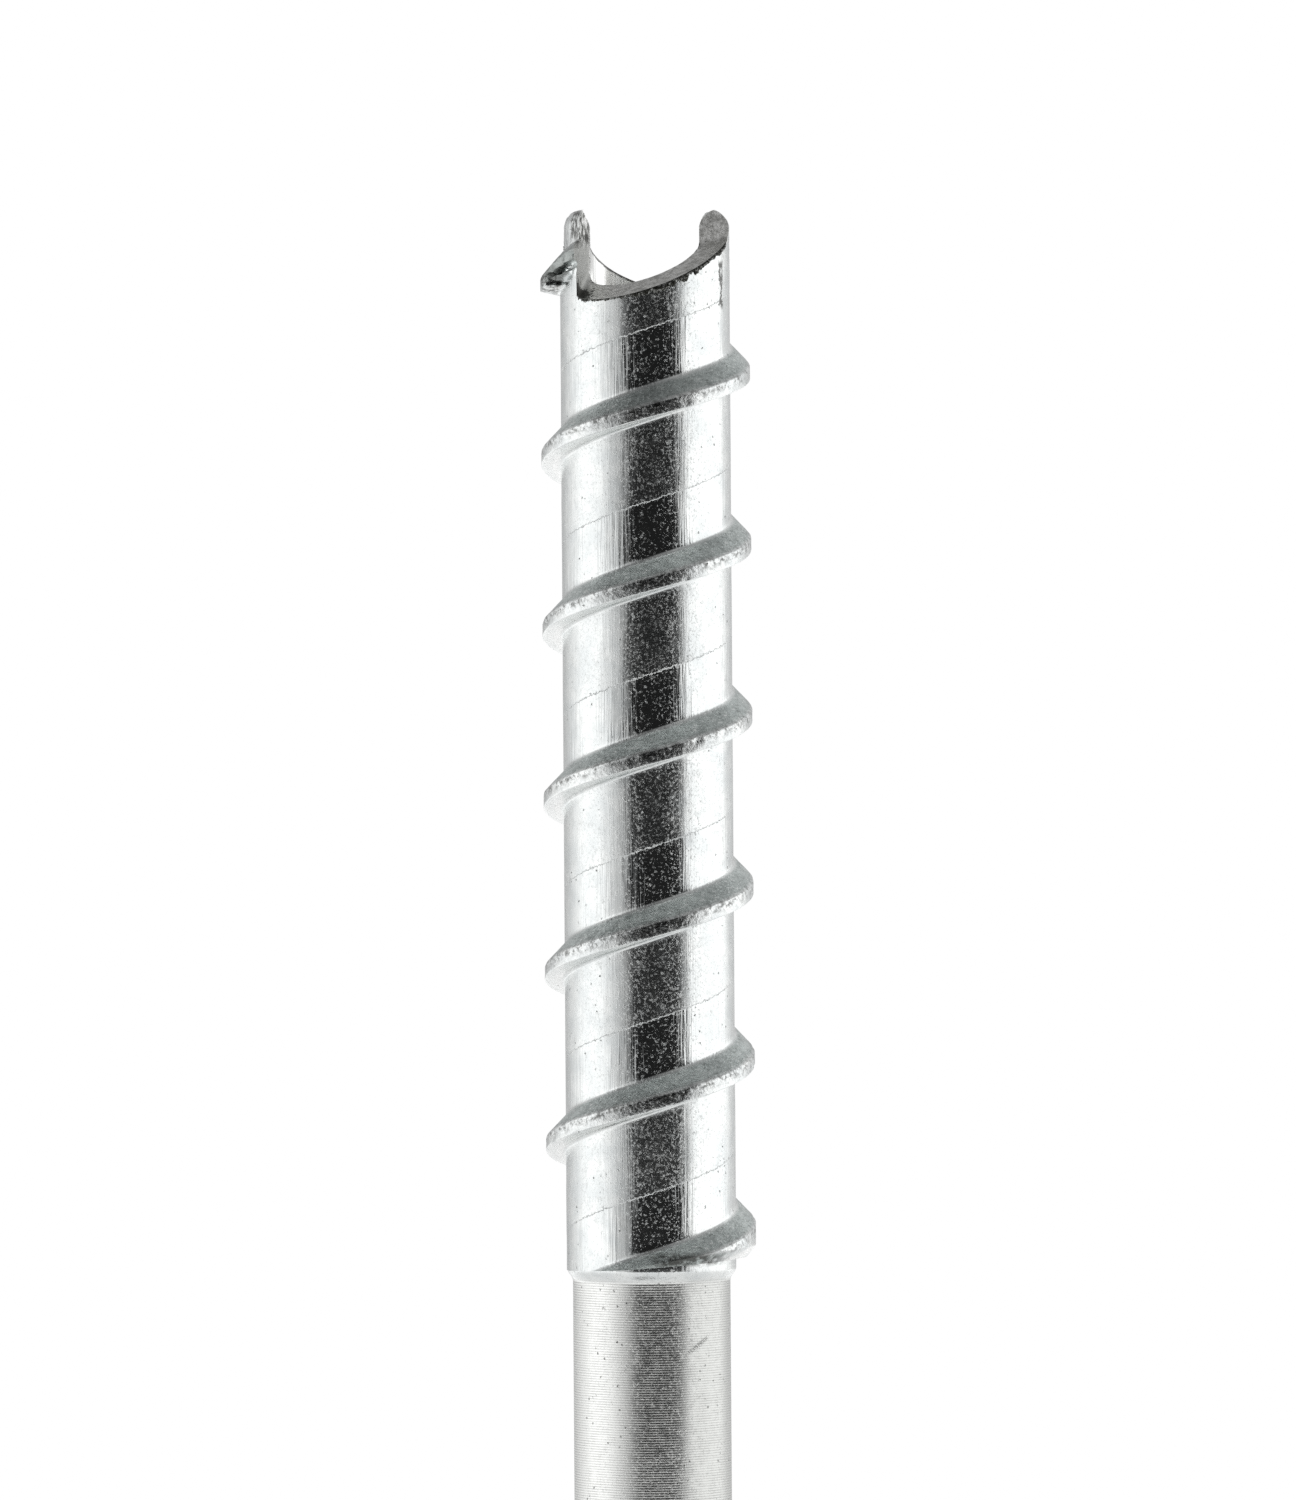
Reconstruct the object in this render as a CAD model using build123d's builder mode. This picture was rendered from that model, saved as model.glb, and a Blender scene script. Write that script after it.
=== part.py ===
from build123d import *
import os
from math import acos, atan2, cos, degrees, hypot, radians, sin, sqrt

# Tubular ice screw with a folding crank handle, as separate pieces, in millimetres.
# The origin is on the tube's axis, in the plane of the hanger's ice side.
# +Z runs along the tube to the teeth and +X points to the carabiner eye.
# The crank is folded round the hex collar; it opens by turning about +Z at the pivot rivet.

# --- Tube -------------------------------------------------------------------
tube_top = 170.0
body_radius = 8.5
shank_radius = 7.9
bore_radius = 5.5
shoulder_top = 64.0
shoulder_bottom = 62.7
tip_round = 1.5
seat_depth = 0.3
spigot_radius = 7.2
spigot_half_flat = 6.5
lip_radius = 8.0
lip_top = -8.2
lip_end = -10.0
lip_rim = 0.4
bore_mouth_chamfer = 0.4

# --- Thread: right hand, square on the head side and 45 degrees on the tip side ---
thread_pitch = 17.2
thread_radius = 10.5
crest_width = 1.4
flank_height = 2.0
thread_embed = 0.4
thread_start = 49.8
thread_turns = 6.66
run_out_height = 64.8
run_out_inner_radius = 9.6
run_out_slope = 1.2
land_height = 2.4
land_turns = 1 + 12 / 360

# --- Teeth: two ground gullets, half a turn apart -----------------------------
gullet_count = 2
gullet_corner = (-6.77, -4.9)
gullet_floor = 161.1
gullet_heading = 75.4
gullet_climb = 25.3
gullet_cross_rise = 9.6
gullet_length = 7.45
gullet_corner_radius = 0.9
gullet_root_radius = 0.8
gullet_width = 22.0
gullet_height = 16.0
gullet_reach = 32.0

# --- Hanger -------------------------------------------------------------------
plate = 3.0
plate_radius = 15.0
pivot_x = -20.0
pivot_boss_radius = 9.5
rack_eye = (-8.0, -23.0)
rack_eye_radius = 6.5
rack_lobe_radius = 11.5
wing_start = 15.0
wing_width = 36.0
wing_angle = 50.0
wing_bend_radius = 3.0
wing_eye_distance = 22.0
wing_eye_radius = 11.0
plate_notch_radius = 3.0
eye_rim = 0.8
plate_rim = 0.5

# --- Hex collar -----------------------------------------------------------------
collar_across_flats = 19.0
collar_height = 6.0
collar_bevel_width = 1.6
collar_bevel_height = 1.2

# --- Crank stack, counted down from the hanger's outer side -------------------------
pivot_radius = 4.0
running_gap = 0.06
side_gap = 0.05
pivot_washer_height = 0.5
pivot_washer_radius = 7.2
arm_top = -3.6
arm_height = 2.8
spring_height = 0.9
spring_gauge = 0.4
spring_radius = 6.4
pivot_head_radius = 6.3
pivot_head_height = 1.9
pivot_head_crown = 1.1
pivot_sink_radius = 5.4
pivot_sink_depth = 1.4

# --- Crank arm ------------------------------------------------------------------
knob_azimuth = 65.0
knob_distance = 20.0
arm_end_radius = 7.0
arm_width = 9.0
arm_rim = 0.4
stop_radius = 1.5
stop_distance = 9.5
stop_angle = 290.0
stop_gap = 0.2
stop_lug_radius = 9.3
stop_bottom = -6.2
stop_bevel = 0.3

# --- Knob -----------------------------------------------------------------------
stud_radius = 3.0
stud_tail_radius = 2.5
stud_end = -27.0
stud_bevel = 0.4
groove_top = -25.3
groove_height = 0.8
groove_radius = 2.4
washer_gap = 0.05
knob_washer_height = 0.6
knob_washer_radius = 6.2
knob_top = -7.2
knob_end = -28.0
knob_radius = 8.2
knob_waist_radius = 7.5
knob_end_round = 1.2
flute_count = 12
flute_radius = 1.3
flute_depth = 0.6
sleeve_wall = 1.34
sleeve_flange_radius = 5.4
sleeve_end = -24.6
knob_chamber_radius = 5.8
knob_chamber_top = -23.8
clip_washer_height = 0.45
clip_washer_radius = 5.2
clip_radius = 4.8
clip_gauge = 0.7
clip_mouth = 4.0
cap_seat = -27.2
cap_radius = 6.8
cap_crown = 0.7
cap_skirt_wall = 0.8
cap_skirt_height = 0.8

# --- Worked out from the sizes above ------------------------------------------------
pivot = (pivot_x, 0.0)
knob_centre = (knob_distance * cos(radians(knob_azimuth)), knob_distance * sin(radians(knob_azimuth)))
arm_bottom = arm_top - arm_height
knob_washer_bottom = arm_bottom - knob_washer_height
spring_top = arm_bottom - side_gap
spring_bottom = spring_top - spring_height
crank_span = hypot(knob_centre[0] - pivot[0], knob_centre[1] - pivot[1])
fold_angle = 180.0 - degrees(atan2(knob_centre[1] - pivot[1], knob_centre[0] - pivot[0]))


def point_on_circle(centre, radius, angle):
    return (centre[0] + radius * cos(radians(angle)), centre[1] + radius * sin(radians(angle)))


def point_beyond(centre, from_point, distance):
    """The point past centre, seen from from_point, at the given distance from centre."""
    span = hypot(centre[0] - from_point[0], centre[1] - from_point[1])
    step = distance / span
    return (
        centre[0] + (centre[0] - from_point[0]) * step,
        centre[1] + (centre[1] - from_point[1]) * step,
    )


def belt(rounds):
    """Outline of a belt pulled round (centre, radius) rounds, listed counter-clockwise."""
    touches = []
    for here, there in zip(rounds, rounds[1:] + rounds[:1]):
        (x, y), radius = here
        (next_x, next_y), next_radius = there
        heading = degrees(atan2(next_y - y, next_x - x))
        lean = degrees(acos((radius - next_radius) / hypot(next_x - x, next_y - y)))
        touches.append((point_on_circle(here[0], radius, heading - lean), heading - lean))
        touches.append((point_on_circle(there[0], next_radius, heading - lean), heading - lean))
    for index, (centre, radius) in enumerate(rounds):
        arrive, arrive_angle = touches[2 * index - 1]
        leave, leave_angle = touches[2 * index]
        if radius > 0:
            CenterArc(centre, radius, arrive_angle, (leave_angle - arrive_angle) % 360)
        Line(leave, touches[2 * index + 1][0])


def crown_arc(rim_radius, rim_height, crown):
    """Half the section of a shallow spherical crown that hangs below a round rim."""
    sphere_radius = (rim_radius**2 + crown**2) / (2 * crown)
    half = rim_radius / 2
    drop = crown - sphere_radius + sqrt(sphere_radius**2 - half**2)
    ThreePointArc((rim_radius, rim_height), (half, rim_height - drop), (0, rim_height - crown))


def gullet_origin(turn):
    """Where one gullet's floor meets the outer corner of the tooth's leading face."""
    return Vector(gullet_corner[0], gullet_corner[1], gullet_floor).rotate(Axis.Z, turn)


def gullet_plane(turn):
    """Section plane of one gullet's cutter: x away from the tooth's leading face, y upwards."""
    heading = radians(gullet_heading + turn)
    climb = radians(gullet_climb)
    travel = Vector(cos(heading) * cos(climb), sin(heading) * cos(climb), sin(climb))
    return Plane(origin=gullet_origin(turn), x_dir=(sin(heading), -cos(heading), 0), z_dir=-travel)


# Tube: turned body, shank, flatted spigot and swaged lip, a swept thread and two ground gullets
with BuildPart() as tube:
    with BuildSketch(Plane.XZ):
        with BuildLine():
            tip = ThreePointArc(
                (bore_radius, tube_top - tip_round),
                ((bore_radius + body_radius) / 2, tube_top),
                (body_radius, tube_top - tip_round),
            )
            Polyline(
                tip @ 1,
                (body_radius, shoulder_top),
                (shank_radius, shoulder_bottom),
                (shank_radius, -seat_depth),
                (spigot_radius, -seat_depth),
                (spigot_radius, lip_top),
                (bore_radius, lip_top),
                tip @ 0,
            )
        make_face()
    revolve(axis=Axis.Z)
    # Two flats along the spigot, so that the hanger and the collar can't turn on it
    with BuildSketch(Plane.XY.offset(lip_top)):
        with Locations(
            (0, spigot_half_flat + spigot_radius),
            (0, -spigot_half_flat - spigot_radius),
        ):
            Rectangle(4 * spigot_radius, 2 * spigot_radius)
    extrude(amount=-lip_top - seat_depth, mode=Mode.SUBTRACT)
    with BuildSketch(Plane.XZ):
        with BuildLine():
            Polyline(
                (bore_radius, lip_top),
                (spigot_radius, lip_top),
                (lip_radius, lip_top - (lip_radius - spigot_radius)),
                (lip_radius, lip_end + lip_rim),
                (lip_radius - lip_rim, lip_end),
                (bore_radius + bore_mouth_chamfer, lip_end),
                (bore_radius, lip_end + bore_mouth_chamfer),
                close=True,
            )
        make_face()
    revolve(axis=Axis.Z)
    # Thread, with its square flank at the start height on the +X side
    with BuildLine():
        Helix(thread_pitch, thread_turns * thread_pitch, thread_radius, center=(0, 0, thread_start))
    with BuildSketch(Plane.XZ):
        with BuildLine():
            Polyline(
                (body_radius - thread_embed, thread_start),
                (thread_radius, thread_start),
                (thread_radius, thread_start + crest_width),
                (body_radius, thread_start + crest_width + flank_height),
                (body_radius - thread_embed, thread_start + crest_width + flank_height),
                close=True,
            )
        make_face()
    sweep(is_frenet=True)
    # Uncut land that is left below the thread's first stretch
    with BuildLine():
        Helix(thread_pitch, land_turns * thread_pitch, thread_radius, center=(0, 0, thread_start))
    with BuildSketch(Plane.XZ):
        with BuildLine():
            Polyline(
                (body_radius - thread_embed, thread_start - land_height),
                (thread_radius, thread_start - land_height),
                (thread_radius, thread_start + crest_width / 2),
                (body_radius - thread_embed, thread_start + crest_width / 2),
                close=True,
            )
        make_face()
    sweep(is_frenet=True)
    # The shank's turning cuts the thread's first turn off square, with a bevelled corner
    turning_start = thread_start - 2 * land_height
    turning_reach = thread_radius + 2
    with BuildSketch(Plane.XZ):
        with BuildLine():
            Polyline(
                (body_radius, turning_start),
                (turning_reach, turning_start),
                (turning_reach, run_out_height + run_out_slope * (turning_reach - run_out_inner_radius)),
                (run_out_inner_radius, run_out_height),
                (body_radius, run_out_height),
                close=True,
            )
        make_face()
    revolve(axis=Axis.Z, mode=Mode.SUBTRACT)
    with BuildSketch(Plane.XZ):
        with BuildLine():
            Polyline(
                (shank_radius, turning_start),
                (body_radius, turning_start),
                (body_radius, shoulder_top),
                (shank_radius, shoulder_bottom),
                close=True,
            )
        make_face()
    revolve(axis=Axis.Z, mode=Mode.SUBTRACT)
    for gullet in range(gullet_count):
        turn = gullet * 360 / gullet_count
        with BuildPart(mode=Mode.PRIVATE) as stone:
            with BuildSketch(gullet_plane(turn)):
                with BuildLine():
                    floor_rise = gullet_width * sin(radians(gullet_cross_rise))
                    Polyline(
                        (0, gullet_height),
                        (0, 0),
                        (gullet_width, floor_rise),
                        (gullet_width, gullet_height),
                        close=True,
                    )
                make_face()
                corner_vertex = vertices().sort_by_distance((0, 0))[0]
                fillet(corner_vertex, gullet_corner_radius)
            extrude(amount=gullet_reach, both=True)
            # The gullet ends at the back of the next tooth, upright, with a rounded root
            travel = Vector(0, 1, 0).rotate(Axis.Z, gullet_heading + turn - 90)
            root_plane = Plane(origin=gullet_origin(turn) + travel * gullet_length, z_dir=travel)
            split(bisect_by=root_plane, keep=Keep.BOTTOM)
            root_face = faces().sort_by(Axis((0, 0, 0), travel))[-1]
            root_edge = root_face.edges().filter_by(GeomType.LINE).sort_by(Axis.Z)[0]
            fillet(root_edge, gullet_root_radius)
        add(stone.part, mode=Mode.SUBTRACT)

tube.part.label = "tube"

# Hanger: bent plate with a carabiner eye in its wing and a racking eye in its lobe
wing_turn = radians(wing_angle)
bend_axis = Axis((wing_start, 0, -plate - wing_bend_radius), (0, 1, 0))
wing_origin = (
    wing_start + wing_bend_radius * sin(wing_turn),
    0,
    -plate - wing_bend_radius + wing_bend_radius * cos(wing_turn),
)
wing_plane = Plane(
    origin=wing_origin,
    x_dir=(cos(wing_turn), 0, -sin(wing_turn)),
    z_dir=(sin(wing_turn), 0, cos(wing_turn)),
)

notch_place = (rack_eye[0] + rack_lobe_radius, -wing_width / 2)


def on_wing_side(place):
    return abs(abs(place.Y) - wing_width / 2) < 0.01


with BuildPart() as hanger:
    with BuildSketch(Plane.XY.offset(-plate)):
        with BuildLine():
            belt([((0, 0), plate_radius), (pivot, pivot_boss_radius), (rack_eye, rack_lobe_radius)])
        make_face()
        with BuildLine():
            belt([((0, 0), plate_radius), ((wing_start, 0), wing_width / 2)])
        make_face()
        with Locations((wing_start + wing_width / 2, 0)):
            Rectangle(wing_width, 2 * wing_width, mode=Mode.SUBTRACT)
        notch = vertices().sort_by_distance(notch_place)[0]
        fillet(notch, plate_notch_radius)
    extrude(amount=plate)
    with BuildSketch(Plane(origin=(wing_start, 0, -plate / 2), x_dir=(0, 1, 0), z_dir=(1, 0, 0))):
        Rectangle(wing_width, plate)
    revolve(axis=bend_axis, revolution_arc=wing_angle)
    with BuildSketch(wing_plane):
        with BuildLine():
            belt(
                [
                    ((wing_eye_distance, 0), wing_width / 2),
                    ((0, wing_width / 2), 0),
                    ((0, -wing_width / 2), 0),
                ]
            )
        make_face()
    extrude(amount=plate)
    # Rounded outline on both sides of the plate, all but the two lines where the bend begins and ends
    broad_faces = faces().sort_by(SortBy.AREA)[-4:]
    outline = ShapeList(edge for face in broad_faces for edge in face.outer_wire().edges())
    bend_sides = edges().filter_by(GeomType.CIRCLE).filter_by(lambda edge: on_wing_side(edge.center()))
    fillet(outline.filter_by(Axis.Y, reverse=True) + bend_sides, plate_rim)
    # Eyes, with rounded rims
    with BuildSketch(wing_plane):
        with Locations((wing_eye_distance, 0)):
            Circle(wing_eye_radius)
    extrude(amount=plate, mode=Mode.SUBTRACT)
    with BuildSketch(Plane.XY.offset(-plate)):
        with Locations(rack_eye):
            Circle(rack_eye_radius)
    extrude(amount=plate, mode=Mode.SUBTRACT)
    eye_edges = edges().filter_by(GeomType.CIRCLE).filter_by(
        lambda edge: abs(edge.radius - wing_eye_radius) < 0.01 or abs(edge.radius - rack_eye_radius) < 0.01
    )
    fillet(eye_edges, eye_rim)
    # Shallow seat for the tube's shoulder
    with BuildSketch(Plane.XY.offset(-seat_depth)):
        Circle(shank_radius + side_gap)
    extrude(amount=seat_depth, mode=Mode.SUBTRACT)
    # Flatted hole for the spigot, countersunk hole for the pivot rivet, hole for the stop pin
    with BuildSketch(Plane.XY.offset(-plate)):
        Circle(spigot_radius)
        Rectangle(4 * spigot_radius, 2 * spigot_half_flat, mode=Mode.INTERSECT)
        with Locations(pivot):
            Circle(pivot_radius)
        with Locations(point_on_circle(pivot, stop_distance, stop_angle)):
            Circle(stop_radius)
    extrude(amount=plate, mode=Mode.SUBTRACT)
    with BuildSketch(Plane.XY.offset(-pivot_sink_depth)):
        with Locations(pivot):
            Circle(pivot_radius)
    with BuildSketch(Plane.XY):
        with Locations(pivot):
            Circle(pivot_sink_radius)
    loft(mode=Mode.SUBTRACT)

hanger.part.label = "hanger"

# Hex collar: holds the hanger against the tube's shoulder and takes a wrench
with BuildPart() as hex_collar:
    collar_bottom = -plate - collar_height
    with BuildSketch(Plane.XY.offset(collar_bottom)):
        RegularPolygon(collar_across_flats / 2, 6, major_radius=False, rotation=30)
    extrude(amount=collar_height)
    with BuildSketch(Plane.XY.offset(collar_bottom)):
        Circle(spigot_radius)
        Rectangle(4 * spigot_radius, 2 * spigot_half_flat, mode=Mode.INTERSECT)
    extrude(amount=collar_height, mode=Mode.SUBTRACT)
    # Cone that the tube's lip is swaged into
    with BuildSketch(Plane.XZ):
        with BuildLine():
            Polyline(
                (0, lip_top),
                (spigot_radius, lip_top),
                (lip_radius, collar_bottom),
                (0, collar_bottom),
                close=True,
            )
        make_face()
    revolve(axis=Axis.Z, mode=Mode.SUBTRACT)
    # Turned bevel over the six corners
    corner_radius = collar_across_flats / sqrt(3)
    bevel_slope = collar_bevel_height / collar_bevel_width
    with BuildSketch(Plane.XZ):
        with BuildLine():
            Polyline(
                (corner_radius - collar_bevel_width, collar_bottom),
                (corner_radius + collar_bevel_width, collar_bottom),
                (corner_radius + collar_bevel_width, collar_bottom + 2 * collar_bevel_width * bevel_slope),
                close=True,
            )
        make_face()
    revolve(axis=Axis.Z, mode=Mode.SUBTRACT)

hex_collar.part.label = "hex_collar"

# Pivot rivet: domed head outside, tail closed flush into the hanger's countersink
with BuildPart() as pivot_rivet:
    pivot_section = Plane(origin=(pivot_x, 0, 0), x_dir=(1, 0, 0), z_dir=(0, -1, 0))
    with BuildSketch(pivot_section):
        with BuildLine():
            head_rim = spring_bottom - pivot_head_height + pivot_head_crown
            Polyline(
                (0, head_rim - pivot_head_crown),
                (0, 0),
                (pivot_sink_radius, 0),
                (pivot_radius, -pivot_sink_depth),
                (pivot_radius, spring_bottom),
                (pivot_head_radius, spring_bottom),
                (pivot_head_radius, head_rim),
            )
            crown_arc(pivot_head_radius, head_rim, pivot_head_crown)
        make_face()
    revolve(axis=Axis((pivot_x, 0, 0), (0, 0, 1)))

pivot_rivet.part.label = "pivot_rivet"

# Pivot washer: thin bearing washer between the hanger and the crank arm
with BuildPart() as pivot_washer:
    with BuildSketch(Plane.XY.offset(-plate - pivot_washer_height)):
        with Locations(pivot):
            Circle(pivot_washer_radius)
            Circle(pivot_radius + side_gap, mode=Mode.SUBTRACT)
    extrude(amount=pivot_washer_height)

pivot_washer.part.label = "pivot_washer"

# Spring washer: dished disc that presses the crank arm so that it stays where it's put
with BuildPart() as spring_washer:
    with BuildSketch(pivot_section):
        with BuildLine():
            Polyline(
                (pivot_radius + side_gap, spring_bottom),
                (pivot_radius + side_gap, spring_bottom + spring_gauge),
                (spring_radius, spring_top),
                (spring_radius, spring_top - spring_gauge),
                close=True,
            )
        make_face()
    revolve(axis=Axis((pivot_x, 0, 0), (0, 0, 1)))

spring_washer.part.label = "spring_washer"

# Stop pin: pressed through the hanger, it ends the crank's travel both ways
with BuildPart() as stop_pin:
    with BuildSketch(Plane.XY.offset(stop_bottom)):
        with Locations(point_on_circle(pivot, stop_distance, stop_angle)):
            Circle(stop_radius)
    extrude(amount=-stop_bottom)
    chamfer(edges().group_by(Axis.Z)[0], stop_bevel)

stop_pin.part.label = "stop_pin"

# Crank arm: flat sickle that wraps round the collar when folded
with BuildPart() as crank_arm:
    arm_inner_radius = knob_distance - arm_end_radius
    half_span = crank_span / 2
    chord_height = sqrt(knob_distance**2 - half_span**2)
    back_reach = arm_inner_radius + arm_width
    back_shift = (knob_distance**2 - (back_reach - arm_end_radius) ** 2) / (
        2 * (back_reach - arm_end_radius - chord_height)
    )
    middle_azimuth = (knob_azimuth + 180) / 2
    back_centre = point_on_circle((0, 0), -back_shift, middle_azimuth)
    with BuildSketch(Plane.XY.offset(arm_bottom)):
        with BuildLine():
            inner_edge = CenterArc((0, 0), arm_inner_radius, knob_azimuth, 180 - knob_azimuth)
            back_edge = ThreePointArc(
                point_beyond(pivot, back_centre, arm_end_radius),
                point_on_circle((0, 0), back_reach, middle_azimuth),
                point_beyond(knob_centre, back_centre, arm_end_radius),
            )
            Line(inner_edge @ 1, back_edge @ 0)
            Line(back_edge @ 1, inner_edge @ 0)
        make_face()
        with Locations(pivot, knob_centre):
            Circle(arm_end_radius)
        with Locations(pivot):
            Circle(stop_lug_radius)
        # Window in the hub's edge, which leaves the stop pin the crank's travel
        with BuildLine() as stop_track:
            CenterArc(pivot, stop_distance, stop_angle - fold_angle, fold_angle)
        SlotArc(stop_track.line.edge(), 2 * (stop_radius + stop_gap), mode=Mode.SUBTRACT)
        with Locations(pivot):
            Circle(pivot_radius + running_gap, mode=Mode.SUBTRACT)
        with Locations(knob_centre):
            Circle(stud_tail_radius, mode=Mode.SUBTRACT)
    extrude(amount=arm_height)
    outer_wires = [face.outer_wire() for face in faces().filter_by(Axis.Z)]
    fillet(ShapeList(edge for wire in outer_wires for edge in wire.edges()), arm_rim)

crank_arm.part.label = "crank_arm"

knob_section = Plane(origin=(knob_centre[0], knob_centre[1], 0), x_dir=(1, 0, 0), z_dir=(0, -1, 0))
knob_axis = Axis((knob_centre[0], knob_centre[1], 0), (0, 0, 1))

# Knob stud: riveted into the arm, with a groove for the clip
with BuildPart() as knob_stud:
    with BuildSketch(knob_section):
        with BuildLine():
            Polyline(
                (0, arm_top),
                (stud_tail_radius, arm_top),
                (stud_tail_radius, arm_bottom),
                (stud_radius, arm_bottom),
                (stud_radius, groove_top),
                (groove_radius, groove_top),
                (groove_radius, groove_top - groove_height),
                (stud_radius, groove_top - groove_height),
                (stud_radius, stud_end + stud_bevel),
                (stud_radius - stud_bevel, stud_end),
                (0, stud_end),
                close=True,
            )
        make_face()
    revolve(axis=knob_axis)

knob_stud.part.label = "knob_stud"

# Knob washer: thrust washer between the arm and the knob
with BuildPart() as knob_washer:
    with BuildSketch(Plane.XY.offset(knob_washer_bottom)):
        with Locations(knob_centre):
            Circle(knob_washer_radius)
            Circle(stud_radius + washer_gap, mode=Mode.SUBTRACT)
    extrude(amount=knob_washer_height)

knob_washer.part.label = "knob_washer"

# Knob sleeve: flanged bearing bush pressed into the knob
with BuildPart() as knob_sleeve:
    sleeve_inner = stud_radius + running_gap
    sleeve_outer = sleeve_inner + sleeve_wall
    with BuildSketch(knob_section):
        with BuildLine():
            Polyline(
                (sleeve_inner, knob_top),
                (sleeve_outer, knob_top),
                (sleeve_outer, knob_chamber_top),
                (sleeve_flange_radius, knob_chamber_top),
                (sleeve_flange_radius, sleeve_end),
                (sleeve_inner, sleeve_end),
                close=True,
            )
        make_face()
    revolve(axis=knob_axis)

knob_sleeve.part.label = "knob_sleeve"

# Knob: fluted, waisted grip that turns on the stud
with BuildPart() as knob:
    with BuildSketch(knob_section):
        with BuildLine():
            waist_height = (knob_top + knob_end) / 2
            grip = ThreePointArc(
                (knob_radius, knob_top - knob_end_round),
                (knob_waist_radius, waist_height),
                (knob_radius, knob_end + knob_end_round),
            )
            base = Line(grip @ 1, (knob_radius - knob_end_round, knob_end))
            Polyline(
                base @ 1,
                (cap_radius, knob_end),
                (cap_radius, cap_seat),
                (knob_chamber_radius, cap_seat),
                (knob_chamber_radius, knob_chamber_top),
                (sleeve_outer, knob_chamber_top),
                (sleeve_outer, knob_top),
                (knob_radius - knob_end_round, knob_top),
                grip @ 0,
            )
        make_face()
    revolve(axis=knob_axis)
    with BuildSketch(Plane.XY.offset(knob_end)):
        with Locations(knob_centre):
            with PolarLocations(knob_radius - flute_depth + flute_radius, flute_count):
                Circle(flute_radius)
    extrude(amount=knob_top - knob_end, mode=Mode.SUBTRACT)

knob.part.label = "knob"

# Clip washer: thin washer between the sleeve's flange and the clip
with BuildPart() as clip_washer:
    with BuildSketch(Plane.XY.offset(groove_top)):
        with Locations(knob_centre):
            Circle(clip_washer_radius)
            Circle(stud_radius + washer_gap, mode=Mode.SUBTRACT)
    extrude(amount=clip_washer_height)

clip_washer.part.label = "clip_washer"

# Knob clip: open ring snapped into the stud's groove
with BuildPart() as knob_clip:
    with BuildSketch(Plane.XY.offset(groove_top - clip_gauge)):
        with Locations(knob_centre):
            Circle(clip_radius)
            Circle(groove_radius + washer_gap, mode=Mode.SUBTRACT)
        with Locations((knob_centre[0] + clip_radius, knob_centre[1])):
            Rectangle(2 * clip_radius, clip_mouth, mode=Mode.SUBTRACT)
    extrude(amount=clip_gauge)

knob_clip.part.label = "knob_clip"

# Knob cap: coloured plug that closes the clip's chamber
with BuildPart() as knob_cap:
    with BuildSketch(knob_section):
        with BuildLine():
            skirt_inner = knob_chamber_radius - cap_skirt_wall
            Polyline(
                (0, knob_end - cap_crown),
                (0, cap_seat),
                (skirt_inner, cap_seat),
                (skirt_inner, cap_seat + cap_skirt_height),
                (knob_chamber_radius, cap_seat + cap_skirt_height),
                (knob_chamber_radius, cap_seat),
                (cap_radius, cap_seat),
                (cap_radius, knob_end),
            )
            crown_arc(cap_radius, knob_end, cap_crown)
        make_face()
    revolve(axis=knob_axis)

knob_cap.part.label = "knob_cap"

pieces = (
    tube,
    hanger,
    hex_collar,
    pivot_rivet,
    pivot_washer,
    spring_washer,
    stop_pin,
    crank_arm,
    knob_stud,
    knob_washer,
    knob_sleeve,
    knob,
    clip_washer,
    knob_clip,
    knob_cap,
)

os.makedirs("parts", exist_ok=True)
for piece in pieces:
    export_step(piece.part, f"parts/{piece.part.label}.step")
print("crank opens by", round(fold_angle, 2), "degrees; knob axis at", knob_centre)
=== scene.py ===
import math
import random

import bmesh
import bpy
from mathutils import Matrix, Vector, noise


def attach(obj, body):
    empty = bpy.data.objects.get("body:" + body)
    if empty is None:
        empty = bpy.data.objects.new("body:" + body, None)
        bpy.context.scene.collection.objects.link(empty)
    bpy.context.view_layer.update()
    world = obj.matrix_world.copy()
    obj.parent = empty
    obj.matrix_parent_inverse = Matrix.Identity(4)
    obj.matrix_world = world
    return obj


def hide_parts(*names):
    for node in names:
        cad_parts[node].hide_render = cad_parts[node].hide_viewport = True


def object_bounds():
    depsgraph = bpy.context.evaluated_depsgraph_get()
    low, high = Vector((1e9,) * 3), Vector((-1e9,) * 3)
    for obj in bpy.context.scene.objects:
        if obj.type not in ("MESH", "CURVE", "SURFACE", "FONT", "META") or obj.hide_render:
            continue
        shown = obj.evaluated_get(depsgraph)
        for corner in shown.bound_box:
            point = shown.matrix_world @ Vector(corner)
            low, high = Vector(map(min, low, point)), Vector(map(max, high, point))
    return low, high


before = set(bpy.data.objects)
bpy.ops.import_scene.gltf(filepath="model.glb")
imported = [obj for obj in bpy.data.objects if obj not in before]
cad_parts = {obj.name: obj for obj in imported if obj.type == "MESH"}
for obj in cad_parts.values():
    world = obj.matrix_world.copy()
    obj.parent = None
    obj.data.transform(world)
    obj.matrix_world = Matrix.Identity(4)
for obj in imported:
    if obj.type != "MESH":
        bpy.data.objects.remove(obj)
cad_box = [list(corner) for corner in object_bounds()]

# Looks of an ice screw that stands tip up in a white studio. Everything is in the frame of the
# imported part: the origin on the tube's axis, +Z to the teeth, +X to the carabiner eye.
# Shapes are worked out in millimetres and written in metres.
MM = 0.001

# --- Tube, in millimetres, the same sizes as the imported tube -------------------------
tube_top = 170.0
tube_end = -10.0
body_radius = 8.5
shank_radius = 7.9
bore_radius = 5.5
wall_middle = (body_radius + bore_radius) / 2
shoulder_top = 64.0
shoulder_bottom = 62.7
seat = -0.3
spigot_radius = 7.2
spigot_half_flat = 6.5
lip_radius = 8.0
lip_top = -8.2
lip_round = 0.4
mouth_bevel = 0.4
tip_height = 1.55
tip_flat = 0.05

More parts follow.
